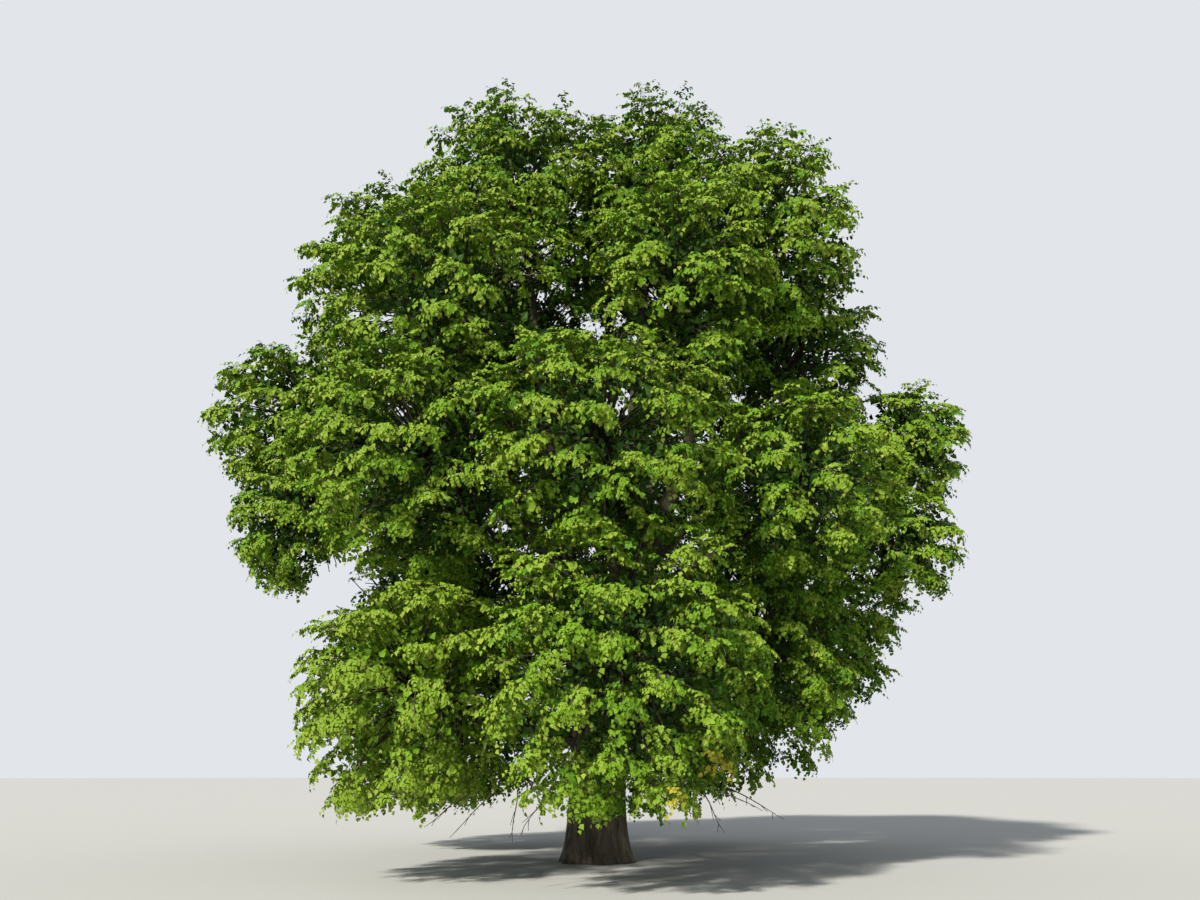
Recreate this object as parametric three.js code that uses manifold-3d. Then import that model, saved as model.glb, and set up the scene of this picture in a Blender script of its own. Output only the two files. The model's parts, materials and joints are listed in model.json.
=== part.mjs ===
// A large-leaved linden: a short stout trunk with a flared foot that forks into five rising leaders,
// boughs that leave them, and masses of foliage that each fill a space of their own.
// Lengths in this file are in metres and are turned into millimetres where the solids are made.
// The origin is the centre of the flat cut at ground level, +Z is up and -Y is the photographed side.
import * as THREE from "three";
import { mergeVertices } from "three/addons/utils/BufferGeometryUtils.js";
import Module from "manifold-3d";

const wasm = await Module();
wasm.setup();

const MM = 1000;
const UP = new THREE.Vector3(0, 0, 1);
const NEARLY_UPRIGHT = 0.98;
const WELD = 1e-6;

// Clearances: the seam between a limb and what it grows from, and the room that foliage leaves.
const SEAM = 0.0003;
const LIMB_ROOM = 0.03;
const SPACE_ROOM = 0.02;
const LOWEST_LEAF = 0.8;

// Trunk: radii at ground, breast height and fork, with ribs that run into the roots.
const TRUNK = {
  height: 3.15,
  groundRadius: 0.72,
  breastRadius: 0.56,
  forkRadius: 0.53,
  flareHeight: 0.42,
  topHeight: 0.45,
  topRadius: 0.36,
  ribs: 6,
  ribDepth: 0.085,
  ribHeight: 0.5,
  ribTurn: 0.6,
  leanX: 0.05,
  leanY: 0.03,
  sides: 24,
  steps: 8,
  ringBias: 1.35,
};

// Limbs: six-sided tubes. The tip is a share of the foot radius, the bend a share of the length.
const LIMB = {
  sides: 6,
  steps: 4,
  tipShare: 0.36,
  leastTip: 0.042,
  taper: 0.85,
  startPull: 0.34,
  endPull: 0.36,
};

// A limb to a mass this high is a leader and leaves the trunk's fork off its middle line. A limb
// ends at a share of its mass's reach, where a thinner stem takes over.
const LEADER = { spread: 0.3, leastHeight: 12 };
const GATE = 0.86;
const STEM_SHARE = 0.9;

// Foliage: a core inside each mass and three-sided twigs that carry leaves, each for a whole spray.
// Shares are of the mass's reach in that direction, turns are in radians.
const CORE = { openShare: 0.655, crowdedShare: 0.885, wobble: 0.12, sunk: 0.16 };
const TWIG = { end: 0.86, foot: 0.07, tip: 0.03, areaEach: 10.3, fewest: 9, inwardLimit: -0.15 };
const LEAF = {
  width: 0.9,
  widest: 0.46,
  dome: 0.08,
  thickness: 0.05,
  sunk: 0.12,
  lift: 0.5,
  fall: 0.5,
  vary: 0.4,
  sideTurn: 0.56,
  sideRootTurn: 0.42,
  reach: 0.985,
  tries: 6,
  shrink: 0.9,
};
// Where a mass faces a neighbour this closely, or the middle of the crown, it carries no leaves.
const LEAST_OPEN = 0.82;
const CROWN_MIDDLE = new THREE.Vector3(0, 0, 6.5);

// Each mass draws its chances from a seed of its own.
const SEED = { first: 101, step: 37, multiplier: 48271, modulus: 2147483647 };

// Sight lines through the crown where the sky shows between the masses.
const SKY_GAPS = [
  { from: [-0.35, -8, 7.3], to: [-0.5, 8, 16.2], radius: 0.62 },
];

// Each mass: its heart, its half sizes, and the limb that feeds it: where that limb leaves, as a
// share of its parent's length, its foot radius, and how much it arches up on the way.
const MASSES = [
  ["top_left", [-1.80, -0.05, 14.00], [2.95, 3.10, 3.55], "trunk", 0.86, 0.25, 0.3],
  ["top_far_right", [3.30, -1.10, 12.60], [2.75, 2.75, 3.30], "trunk", 0.86, 0.24, 0.3],
  ["top_back_left", [-1.91, 3.35, 12.6], [3.35, 3.10, 3.35], "trunk", 0.86, 0.23, 0.3],
  ["top_back_right", [2.28, 3.35, 12.6], [3.22, 3.10, 3.35], "trunk", 0.86, 0.23, 0.3],
  ["top_right", [1.25, -0.05, 14.10], [2.55, 2.98, 3.50], "trunk", 0.86, 0.23, 0.34],
  ["shoulder_left", [-4.27, -0.74, 11.70], [2.73, 2.98, 2.73], "top_left", 0.26, 0.15, 0.2],
  ["shoulder_right", [4.42, 0.50, 10.60], [2.30, 2.60, 2.73], "top_far_right", 0.34, 0.12, 0.15],
  ["upper_front_left", [-2.64, -3.64, 9.84], [2.73, 2.60, 2.85], "top_left", 0.44, 0.12, 0.15],
  ["upper_front_right", [1.60, -3.40, 10.50], [1.95, 2.50, 2.90], "top_right", 0.5, 0.12, 0.15],
  ["upper_back_left", [-4.37, 3.28, 9.66], [2.98, 3.10, 3.22], "top_back_left", 0.36, 0.13, 0.15],
  ["upper_back", [-0.18, 5.09, 9.47], [3.10, 2.85, 3.22], "top_back_right", 0.42, 0.12, 0.1],
  ["upper_back_right", [4.00, 3.63, 9.47], [2.98, 3.10, 3.22], "top_back_right", 0.3, 0.13, 0.15],
  ["lobe_left", [-6.00, -1.40, 8.38], [2.15, 2.10, 1.90], "shoulder_left", 0.3, 0.11, 0.12],
  ["droop_left", [-5.80, -2.00, 6.05], [1.25, 1.60, 1.50], "lobe_left", 0.7, 0.09, 0.1],
  ["middle_front_left", [-3.01, -4.20, 6.83], [2.73, 2.48, 2.60], "top_left", 0.2, 0.13, 0.18],
  ["middle_front", [0.09, -5.15, 6.74], [2.73, 2.36, 2.23], "top_right", 0.2, 0.13, 0.2],
  ["middle_front_right", [3.60, -3.60, 6.40], [2.05, 2.50, 1.95], "top_far_right", 0.17, 0.13, 0.18],
  ["lobe_right_high", [6.92, 0.40, 8.50], [1.42, 1.70, 1.68], "top_far_right", 0.25, 0.12, 0.12],
  ["lobe_right_low", [6.35, 0.40, 6.20], [1.65, 1.70, 1.60], "lobe_right_high", 0.7, 0.09, 0.1],
  ["middle_back_left", [-2.93, 4.57, 6.10], [2.36, 2.85, 2.60], "top_back_left", 0.18, 0.13, 0.18],
  ["middle_back", [0.64, 5.71, 6.00], [2.73, 2.60, 2.73], "top_back_right", 0.2, 0.12, 0.18],
  ["middle_back_right", [3.93, 4.21, 5.92], [2.73, 2.98, 2.73], "top_back_right", 0.12, 0.13, 0.18],
  ["low_left", [-3.12, -3.40, 2.95], [2.10, 2.60, 2.90], "trunk", 0.6, 0.12, 0.16],
  ["low_front", [0.40, -5.10, 3.20], [2.50, 2.35, 3.10], "trunk", 0.7, 0.15, 0.16],
  ["side_left", [-3.55, 0.50, 4.90], [1.70, 2.40, 3.20], "trunk", 0.78, 0.13, 0.16],
  ["low_right", [3.00, -1.75, 3.90], [2.10, 2.35, 2.90], "trunk", 0.68, 0.12, 0.16],
  ["low_far_right", [4.35, 1.05, 4.65], [2.35, 2.65, 2.50], "trunk", 0.64, 0.13, 0.16],
  ["low_back_right", [2.24, 4.84, 3.15], [2.75, 2.60, 2.70], "trunk", 0.6, 0.13, 0.14],
  ["low_back_left", [-3.32, 3.32, 3.15], [2.90, 2.90, 2.70], "trunk", 0.66, 0.13, 0.14],
].map(([name, heart, half, parent, at, foot, arch], index) => ({
  name,
  heart: new THREE.Vector3(...heart),
  half: new THREE.Vector3(...half),
  parent,
  at,
  foot,
  arch,
  seed: SEED.first + SEED.step * index,
}));

const ROUGHNESS = 0.85;
const COLOURS = {
  bark: 0x6a5e4c,
  bough: 0x5d5343,
  foliage: [0x56801c, 0x4f7a1c, 0x63891f, 0x486f1b],
};

// A repeatable run of numbers from 0 to 1, the same in every build.
function series(seed) {
  let state = seed;
  return () => {
    state = (state * SEED.multiplier) % SEED.modulus;
    return state / SEED.modulus;
  };
}

// A closed three.js geometry, given in metres, as a manifold solid in millimetres.
function toSolid(geometry) {
  geometry.deleteAttribute("normal");
  geometry.deleteAttribute("uv");
  const closed = mergeVertices(geometry, WELD);
  const points = Float32Array.from(closed.attributes.position.array, (value) => value * MM);
  const mesh = new wasm.Mesh({
    numProp: 3,
    vertProperties: points,
    triVerts: Uint32Array.from(closed.index.array),
  });
  return new wasm.Manifold(mesh);
}

// A manifold solid as a named three.js mesh.
function toMesh(name, solid, colour) {
  const { vertProperties, triVerts } = solid.getMesh();
  const geometry = new THREE.BufferGeometry();
  geometry.setAttribute("position", new THREE.BufferAttribute(Float32Array.from(vertProperties), 3));
  geometry.setIndex(new THREE.BufferAttribute(Uint32Array.from(triVerts), 1));
  geometry.computeVertexNormals();
  const material = new THREE.MeshStandardMaterial({ name, color: colour, roughness: ROUGHNESS });
  const mesh = new THREE.Mesh(geometry, material);
  mesh.name = name;
  return mesh;
}

// The largest closed piece of a solid, with any hollow sealed inside it filled.
function mainPiece(solid) {
  const pieces = solid.decompose();
  return pieces.reduce((best, piece) => (piece.volume() > best.volume() ? piece : best));
}

// The frame across a direction, turned so that its first axis stays level where it can.
function across(direction) {
  const level = Math.abs(direction.z) > NEARLY_UPRIGHT ? new THREE.Vector3(1, 0, 0) : UP;
  const first = new THREE.Vector3().crossVectors(level, direction).normalize();
  const second = new THREE.Vector3().crossVectors(first, direction);
  return { first, second };
}

// A tapered tube along a curve, made from a cylinder whose rings are moved onto it.
function tube(curve, radiusAt, sides, steps) {
  const geometry = new THREE.CylinderGeometry(1, 1, 1, sides, steps);
  const position = geometry.attributes.position;
  const chord = curve.getPoint(1).sub(curve.getPoint(0)).normalize();
  const level = across(chord).first;
  for (let index = 0; index < position.count; index += 1) {
    const share = position.getY(index) + 0.5;
    const along = curve.getTangent(share);
    const first = level.clone().addScaledVector(along, -level.dot(along)).normalize();
    const second = new THREE.Vector3().crossVectors(first, along);
    const radius = radiusAt(share);
    const point = curve.getPoint(share);
    point.addScaledVector(first, position.getX(index) * radius);
    point.addScaledVector(second, position.getZ(index) * radius);
    position.setXYZ(index, point.x, point.y, point.z);
  }
  return geometry;
}

// The trunk's middle line and its radius at a height, before the ribs.
function trunkPoint(share) {
  const height = share * TRUNK.height;
  return new THREE.Vector3(TRUNK.leanX * share * share, TRUNK.leanY * share * share, height);
}

function trunkRadius(height) {
  const straight = THREE.MathUtils.lerp(TRUNK.breastRadius, TRUNK.forkRadius, height / TRUNK.height);
  const flare = (TRUNK.groundRadius - TRUNK.breastRadius) * Math.exp(-height / TRUNK.flareHeight);
  const rounding = Math.max(0, (height - TRUNK.height + TRUNK.topHeight) / TRUNK.topHeight);
  return THREE.MathUtils.lerp(straight + flare, TRUNK.topRadius, rounding * rounding);
}

// The trunk: rings that widen and grow ribs towards the ground, closed by two flat ends.
function trunkGeometry(extra) {
  const geometry = new THREE.CylinderGeometry(1, 1, 1, TRUNK.sides, TRUNK.steps);
  geometry.rotateX(Math.PI / 2);
  const position = geometry.attributes.position;
  for (let index = 0; index < position.count; index += 1) {
    const share = position.getZ(index) + 0.5;
    const height = TRUNK.height * Math.pow(share, TRUNK.ringBias);
    const offCentre = Math.hypot(position.getX(index), position.getY(index));
    const angle = Math.atan2(position.getY(index), position.getX(index));
    const ribs = Math.cos(TRUNK.ribs * angle + TRUNK.ribTurn) * Math.exp(-height / TRUNK.ribHeight);
    const radius = offCentre * (trunkRadius(height) * (1 + TRUNK.ribDepth * ribs) + extra);
    const middle = trunkPoint(height / TRUNK.height);
    const x = middle.x + radius * Math.cos(angle);
    const y = middle.y + radius * Math.sin(angle);
    position.setXYZ(index, x, y, share === 1 ? height + extra : height);
  }
  return geometry;
}

// How far a mass reaches from its heart: its own round outline, cut back by a plane towards each
// neighbour that divides the distance between the two by their sizes.
function roundReach(mass, direction) {
  return 1 / direction.clone().divide(mass.half).length();
}

function dividers(mass) {
  return MASSES.filter((other) => other !== mass).map((other) => {
    const normal = other.heart.clone().sub(mass.heart);
    const distance = normal.length();
    normal.divideScalar(distance);
    const own = roundReach(mass, normal);
    const theirs = roundReach(other, normal);
    const share = own / (own + theirs);
    return { normal, limit: share * distance - SPACE_ROOM };
  });
}

function reach(mass, direction) {
  let length = roundReach(mass, direction);
  for (const plane of mass.planes) {
    const slope = plane.normal.dot(direction);
    if (slope > 0) length = Math.min(length, plane.limit / slope);
  }
  if (direction.z < 0) length = Math.min(length, (mass.heart.z - LOWEST_LEAF) / -direction.z);
  return length;
}

function inGap(point) {
  return SKY_GAPS.some((gap) => {
    const line = new THREE.Line3(new THREE.Vector3(...gap.from), new THREE.Vector3(...gap.to));
    const nearest = line.closestPointToPoint(point, true, new THREE.Vector3());
    return nearest.distanceTo(point) < gap.radius;
  });
}

function inSpace(mass, point) {
  const offset = point.clone().sub(mass.heart);
  const length = offset.length();
  return length <= reach(mass, offset.divideScalar(length)) && !inGap(point);
}

for (const mass of MASSES) {
  mass.planes = dividers(mass);
}

// How much of a direction's round reach the neighbours leave: 1 where the mass faces open air.
function openness(mass, direction) {
  return reach(mass, direction) / roundReach(mass, direction);
}

function isOpen(mass, direction) {
  return openness(mass, direction) > LEAST_OPEN;
}

// A limb: it starts on its parent's middle line, arches out and ends pointing at the heart of the
// mass that it feeds, just inside that mass's space.
function startOf(mass) {
  if (mass.parent !== "trunk") {
    return MASSES.find((other) => other.name === mass.parent).curve.getPoint(mass.at);
  }
  const start = trunkPoint(mass.at);
  const aside = mass.heart.clone().sub(start).setZ(0).normalize();
  return start.addScaledVector(aside, mass.heart.z > LEADER.leastHeight ? LEADER.spread : 0);
}

function limbCurve(mass) {
  const start = startOf(mass);
  const inward = start.clone().sub(mass.heart).normalize();
  const gate = mass.heart.clone().addScaledVector(inward, GATE * reach(mass, inward));
  const length = gate.distanceTo(start);
  const leave = gate.clone().sub(start).normalize().addScaledVector(UP, mass.arch * 2).normalize();
  return new THREE.CubicBezierCurve3(
    start,
    start.clone().addScaledVector(leave, LIMB.startPull * length),
    gate.clone().addScaledVector(inward, LIMB.endPull * length),
    gate,
  );
}

function tipRadius(mass) {
  return Math.max(LIMB.leastTip, LIMB.tipShare * mass.foot);
}

function limbSolid(mass, extra) {
  const tip = tipRadius(mass);
  const radiusAt = (share) => tip + (mass.foot - tip) * Math.pow(1 - share, LIMB.taper) + extra;
  return toSolid(tube(mass.curve, radiusAt, LIMB.sides, LIMB.steps));
}

const limbs = [{ name: "trunk", solid: toSolid(trunkGeometry(0)), near: toSolid(trunkGeometry(SEAM)) }];
for (const mass of MASSES) {
  mass.curve = limbCurve(mass);
  let solid = limbSolid(mass, 0);
  for (const earlier of limbs) {
    solid = solid.subtract(earlier.near);
  }
  limbs.push({ name: `bough_${mass.name}`, solid: mainPiece(solid), near: limbSolid(mass, SEAM) });
}
const limbRoom = [toSolid(trunkGeometry(LIMB_ROOM)), ...MASSES.map((mass) => limbSolid(mass, LIMB_ROOM))]
  .reduce((all, solid) => all.add(solid));

// A straight three-sided twig between two points.
function twigSolid(from, to) {
  const radiusAt = (share) => THREE.MathUtils.lerp(TWIG.foot, TWIG.tip, share);
  return toSolid(tube(new THREE.LineCurve3(from, to), radiusAt, 3, 1));
}

// A leaf: an octahedron stretched from its root to its tip into a domed kite.
function leafGeometry(root, tip, facing) {
  const geometry = new THREE.OctahedronGeometry(1, 0);
  const axis = tip.clone().sub(root);
  const length = axis.length();
  axis.divideScalar(length);
  const normal = facing.clone().addScaledVector(axis, -facing.dot(axis)).normalize();
  const side = new THREE.Vector3().crossVectors(normal, axis);
  const position = geometry.attributes.position;
  for (let index = 0; index < position.count; index += 1) {
    const along = position.getX(index);
    const wide = position.getY(index);
    const high = position.getZ(index);
    const forward = along === 0 ? LEAF.widest : (along + 1) / 2;
    const height = high === 0 ? 0 : LEAF.dome + (high * LEAF.thickness) / 2;
    const point = root.clone().addScaledVector(axis, forward * length);
    point.addScaledVector(side, (wide * LEAF.width * length) / 2);
    point.addScaledVector(normal, height * length);
    position.setXYZ(index, point.x, point.y, point.z);
  }
  return geometry;
}

function corners(geometry) {
  const position = geometry.attributes.position;
  return Array.from({ length: position.count }, (_, index) =>
    new THREE.Vector3().fromBufferAttribute(position, index));
}

// A leaf that starts at a sunk root and ends on the mass's outline, shrunk towards its root until
// all of it is inside the mass's space, clear of every limb and of the leaves before it.
function placeLeaf(mass, root, direction, others) {
  const facing = direction.clone().addScaledVector(UP, LEAF.lift);
  let tip = mass.heart.clone().addScaledVector(direction, LEAF.reach * reach(mass, direction));
  for (let attempt = 0; attempt < LEAF.tries; attempt += 1) {
    const geometry = leafGeometry(root, tip, facing);
    if (corners(geometry).every((corner) => inSpace(mass, corner))) {
      const solid = toSolid(geometry);
      const clear = solid.intersect(limbRoom).isEmpty();
      if (clear && others.every((other) => other.intersect(solid).isEmpty())) return solid;
    }
    tip = root.clone().lerp(tip, LEAF.shrink);
  }
  return null;
}

const gapTubes = SKY_GAPS.map((gap) => {
  const line = new THREE.LineCurve3(new THREE.Vector3(...gap.from), new THREE.Vector3(...gap.to));
  return toSolid(tube(line, () => gap.radius, LIMB.sides, 1));
});

// The share of its reach that a mass's dense middle fills: more of it towards a neighbour.
function coreShare(mass, direction) {
  const open = THREE.MathUtils.smoothstep(openness(mass, direction), LEAST_OPEN, 1);
  return THREE.MathUtils.lerp(CORE.crowdedShare, CORE.openShare, open);
}

// A dense middle for a mass: an icosahedron drawn out to a share of the mass's reach.
function coreSolid(mass, random) {
  const ball = new THREE.IcosahedronGeometry(1, 1);
  ball.deleteAttribute("normal");
  ball.deleteAttribute("uv");
  const geometry = mergeVertices(ball, WELD);
  const position = geometry.attributes.position;
  for (let index = 0; index < position.count; index += 1) {
    const direction = new THREE.Vector3().fromBufferAttribute(position, index).normalize();
    const share = coreShare(mass, direction) * (1 - CORE.wobble * random());
    const point = mass.heart.clone().addScaledVector(direction, share * reach(mass, direction));
    position.setXYZ(index, point.x, point.y, point.z);
  }
  const whole = gapTubes.reduce((rest, gap) => rest.subtract(gap), toSolid(geometry));
  return mainPiece(whole.subtract(limbRoom));
}

// Even directions around a mass, left out where they point back into the crown or at a neighbour.
function twigDirections(mass, random) {
  const area = 4 * Math.PI * Math.pow(mass.half.x * mass.half.y * mass.half.z, 2 / 3);
  const count = Math.max(TWIG.fewest, Math.round(area / TWIG.areaEach));
  const outward = mass.heart.clone().sub(CROWN_MIDDLE).normalize();
  const spin = random() * Math.PI * 2;
  const golden = Math.PI * (3 - Math.sqrt(5));
  const around = Array.from({ length: count }, (_, index) => {
    const height = 1 - (2 * (index + 0.5)) / count;
    const flat = Math.sqrt(1 - height * height);
    const angle = spin + golden * index;
    return new THREE.Vector3(flat * Math.cos(angle), flat * Math.sin(angle), height);
  });
  return around.filter((way) => way.dot(outward) > TWIG.inwardLimit && isOpen(mass, way));
}

// A direction turned downhill and sideways over the surface of a mass.
function turned(direction, down, aside) {
  const { first, second } = across(direction);
  return direction.clone().addScaledVector(second, -Math.sign(second.z) * Math.tan(down))
    .addScaledVector(first, Math.tan(aside)).normalize();
}

// A mass: its stem runs from the bough's tip to the heart, twigs fork from the stem and stand out
// of the core, and each carries a leaf at its end, with one more rooted on either side of it.
function massSolid(mass) {
  const random = series(mass.seed);
  const gate = mass.curve.getPoint(1).addScaledVector(mass.curve.getTangent(1), SEAM);
  const stemRadius = STEM_SHARE * tipRadius(mass);
  const stem = toSolid(tube(new THREE.LineCurve3(gate, mass.heart), () => stemRadius, LIMB.sides, 1));
  const leaves = [];
  let body = coreSolid(mass, random).add(stem);
  for (const direction of twigDirections(mass, random)) {
    const twigEnd = mass.heart.clone().addScaledVector(direction, TWIG.end * reach(mass, direction));
    const twig = twigSolid(mass.heart, twigEnd);
    const root = twigEnd.clone().addScaledVector(direction, -LEAF.sunk);
    const fall = LEAF.fall * (1 + LEAF.vary * (random() - 0.5));
    const leaf = placeLeaf(mass, root, turned(direction, fall, LEAF.vary * (random() - 0.5)), leaves);
    if (leaf && twig.intersect(limbRoom).isEmpty()) {
      leaves.push(leaf);
      body = body.add(twig).add(leaf);
    }
    for (const side of [-1, 1]) {
      const rootWay = turned(direction, 0, side * LEAF.sideRootTurn);
      const depth = coreShare(mass, rootWay) * (1 - CORE.wobble) * reach(mass, rootWay) - CORE.sunk;
      const sideRoot = mass.heart.clone().addScaledVector(rootWay, depth);
      const aside = side * (LEAF.sideTurn + LEAF.sideRootTurn * random());
      const way = turned(direction, fall * random(), aside);
      const sideLeaf = isOpen(mass, way) ? placeLeaf(mass, sideRoot, way, leaves) : null;
      if (sideLeaf) {
        leaves.push(sideLeaf);
        body = body.add(sideLeaf);
      }
    }
  }
  return mainPiece(body);
}

const tree = new THREE.Group();
tree.name = "linden_tree";
for (const limb of limbs) {
  tree.add(toMesh(limb.name, limb.solid, limb.name === "trunk" ? COLOURS.bark : COLOURS.bough));
}
MASSES.forEach((mass, index) => {
  const colour = COLOURS.foliage[index % COLOURS.foliage.length];
  tree.add(toMesh(`foliage_${mass.name}`, massSolid(mass), colour));
});

export default tree;
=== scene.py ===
import json
import math
from types import SimpleNamespace

import bmesh
import bpy
import numpy as np
from mathutils import Matrix, Vector, noise

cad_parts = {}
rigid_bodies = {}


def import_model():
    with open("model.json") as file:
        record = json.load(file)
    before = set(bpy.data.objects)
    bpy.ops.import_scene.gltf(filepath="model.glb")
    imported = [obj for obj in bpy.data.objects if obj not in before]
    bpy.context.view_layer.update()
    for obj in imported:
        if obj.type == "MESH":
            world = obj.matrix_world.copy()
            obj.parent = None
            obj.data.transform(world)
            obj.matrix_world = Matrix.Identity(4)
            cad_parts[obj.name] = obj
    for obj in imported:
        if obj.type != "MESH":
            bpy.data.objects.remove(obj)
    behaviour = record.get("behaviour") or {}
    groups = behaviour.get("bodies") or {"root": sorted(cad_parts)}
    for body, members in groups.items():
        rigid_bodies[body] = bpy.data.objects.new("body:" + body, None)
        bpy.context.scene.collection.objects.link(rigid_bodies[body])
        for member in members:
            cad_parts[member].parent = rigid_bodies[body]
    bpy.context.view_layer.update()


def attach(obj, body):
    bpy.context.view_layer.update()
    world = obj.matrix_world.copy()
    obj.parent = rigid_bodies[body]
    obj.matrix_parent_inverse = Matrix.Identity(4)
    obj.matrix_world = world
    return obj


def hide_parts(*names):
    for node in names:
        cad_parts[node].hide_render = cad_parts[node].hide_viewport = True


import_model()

# Viewpoint. Someone stands 20 m in front of the trunk, looks up 18.5 degrees and sees the whole
# crown through a 29 mm lens.
EYE = (0.06, -20.0, 1.6)
LOOK_UP = 18.5
lens = bpy.data.cameras.new("viewpoint")
lens.lens = 29.0
lens.sensor_width = 36.0
lens.clip_end = 2000
viewpoint = bpy.data.objects.new("viewpoint", lens)
viewpoint.location = EYE
viewpoint.rotation_euler = (math.radians(90 + LOOK_UP), 0, 0)
bpy.context.scene.collection.objects.link(viewpoint)
bpy.context.scene.camera = viewpoint

# Crown spaces. The foliage hangs in masses of twigs and leaves, and each fills a rounded space of
# its own about a heart that one limb feeds, flattened where it meets its neighbours.
LOWEST_LEAF = 0.8
SPACE_ROOM = 0.02
LEAST_SLOPE = 1e-6
FIRST_SEED = 101
SEED_STEP = 37
# Heart, half sizes, parent limb, share of its length where the limb leaves, foot radius and arch.
SPACES = [
    ("top_left", (-1.80, -0.05, 14.00), (2.95, 3.10, 3.55), "trunk", 0.86, 0.25, 0.3),
    ("top_far_right", (3.30, -1.10, 12.60), (2.75, 2.75, 3.30), "trunk", 0.86, 0.24, 0.3),
    ("top_back_left", (-1.91, 3.35, 12.60), (3.35, 3.10, 3.35), "trunk", 0.86, 0.23, 0.3),
    ("top_back_right", (2.28, 3.35, 12.60), (3.22, 3.10, 3.35), "trunk", 0.86, 0.23, 0.3),
    ("top_right", (1.25, -0.05, 14.10), (2.55, 2.98, 3.50), "trunk", 0.86, 0.23, 0.34),
    ("shoulder_left", (-4.27, -0.74, 11.70), (2.73, 2.98, 2.73), "top_left", 0.26, 0.15, 0.2),
    ("shoulder_right", (4.42, 0.50, 10.60), (2.30, 2.60, 2.73), "top_far_right", 0.34, 0.12, 0.15),
    ("upper_front_left", (-2.64, -3.64, 9.84), (2.73, 2.60, 2.85), "top_left", 0.44, 0.12, 0.15),
    ("upper_front_right", (1.60, -3.40, 10.50), (1.95, 2.50, 2.90), "top_right", 0.5, 0.12, 0.15),
    ("upper_back_left", (-4.37, 3.28, 9.66), (2.98, 3.10, 3.22), "top_back_left", 0.36, 0.13, 0.15),
    ("upper_back", (-0.18, 5.09, 9.47), (3.10, 2.85, 3.22), "top_back_right", 0.42, 0.12, 0.1),
    ("upper_back_right", (4.00, 3.63, 9.47), (2.98, 3.10, 3.22), "top_back_right", 0.3, 0.13, 0.15),
    ("lobe_left", (-6.00, -1.40, 8.38), (2.15, 2.10, 1.90), "shoulder_left", 0.3, 0.11, 0.12),
    ("droop_left", (-5.80, -2.00, 6.05), (1.25, 1.60, 1.50), "lobe_left", 0.7, 0.09, 0.1),
    ("middle_front_left", (-3.01, -4.20, 6.83), (2.73, 2.48, 2.60), "top_left", 0.2, 0.13, 0.18),
    ("middle_front", (0.09, -5.15, 6.74), (2.73, 2.36, 2.23), "top_right", 0.2, 0.13, 0.2),
    ("middle_front_right", (3.60, -3.60, 6.40), (2.05, 2.50, 1.95), "top_far_right", 0.17, 0.13, 0.18),
    ("lobe_right_high", (6.92, 0.40, 8.50), (1.42, 1.70, 1.68), "top_far_right", 0.25, 0.12, 0.12),
    ("lobe_right_low", (6.35, 0.40, 6.20), (1.65, 1.70, 1.60), "lobe_right_high", 0.7, 0.09, 0.1),
    ("middle_back_left", (-2.93, 4.57, 6.10), (2.36, 2.85, 2.60), "top_back_left", 0.18, 0.13, 0.18),
    ("middle_back", (0.64, 5.71, 6.00), (2.73, 2.60, 2.73), "top_back_right", 0.2, 0.12, 0.18),
    ("middle_back_right", (3.93, 4.21, 5.92), (2.73, 2.98, 2.73), "top_back_right", 0.12, 0.13, 0.18),
    ("low_left", (-3.12, -3.40, 2.95), (2.10, 2.60, 2.90), "trunk", 0.6, 0.12, 0.16),
    ("low_front", (0.40, -5.10, 3.20), (2.50, 2.35, 3.10), "trunk", 0.7, 0.15, 0.16),
    ("side_left", (-3.55, 0.50, 4.90), (1.70, 2.40, 3.20), "trunk", 0.78, 0.13, 0.16),
    ("low_right", (3.00, -1.75, 3.90), (2.10, 2.35, 2.90), "trunk", 0.68, 0.12, 0.16),
    ("low_far_right", (4.35, 1.05, 4.65), (2.35, 2.65, 2.50), "trunk", 0.64, 0.13, 0.16),
    ("low_back_right", (2.24, 4.84, 3.15), (2.75, 2.60, 2.70), "trunk", 0.6, 0.13, 0.14),
    ("low_back_left", (-3.32, 3.32, 3.15), (2.90, 2.90, 2.70), "trunk", 0.66, 0.13, 0.14),
]
LEAF_SCALE = SimpleNamespace(near=0.85, middle=1, top=1.1, far=1.16)
LEAF_ZONE = SimpleNamespace(top_from=12, far_from=2.5, near_to=-1, low_to=8)


def leaf_scale_at(heart):
    """How large leaves are drawn: finest low in front, larger and so fewer at the top and behind."""
    _, back, up = heart
    if up > LEAF_ZONE.top_from:
        return LEAF_SCALE.top
    if back > LEAF_ZONE.far_from:
        return LEAF_SCALE.far
    is_near = back < LEAF_ZONE.near_to and up < LEAF_ZONE.low_to
    return LEAF_SCALE.near if is_near else LEAF_SCALE.middle


masses = {}
for index, (name, heart, half, parent, leaves_at, foot, arch) in enumerate(SPACES):
    masses[name] = SimpleNamespace(
        name=name,
        heart=np.array(heart),
        half=np.array(half),
        parent=parent,
        leaves_at=leaves_at,
        foot=foot,
        arch=arch,
        seed=FIRST_SEED + SEED_STEP * index,
        leaf_scale=leaf_scale_at(heart),
    )


def unit(ways):
    """Ways of length 1."""
    return ways / np.linalg.norm(ways, axis=-1, keepdims=True)


def round_reach(mass, ways):
    """How far a mass would go from its heart with no neighbours."""
    return 1 / np.linalg.norm(ways / mass.half, axis=-1)


for mass in masses.values():
    others = [other for other in masses.values() if other is not mass]
    gaps = np.array([other.heart - mass.heart for other in others])
    mass.normals = unit(gaps)
    own = round_reach(mass, mass.normals)
    theirs = np.array([round_reach(other, way) for other, way in zip(others, mass.normals)])
    mass.limits = own / (own + theirs) * np.linalg.norm(gaps, axis=1) - SPACE_ROOM


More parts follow.
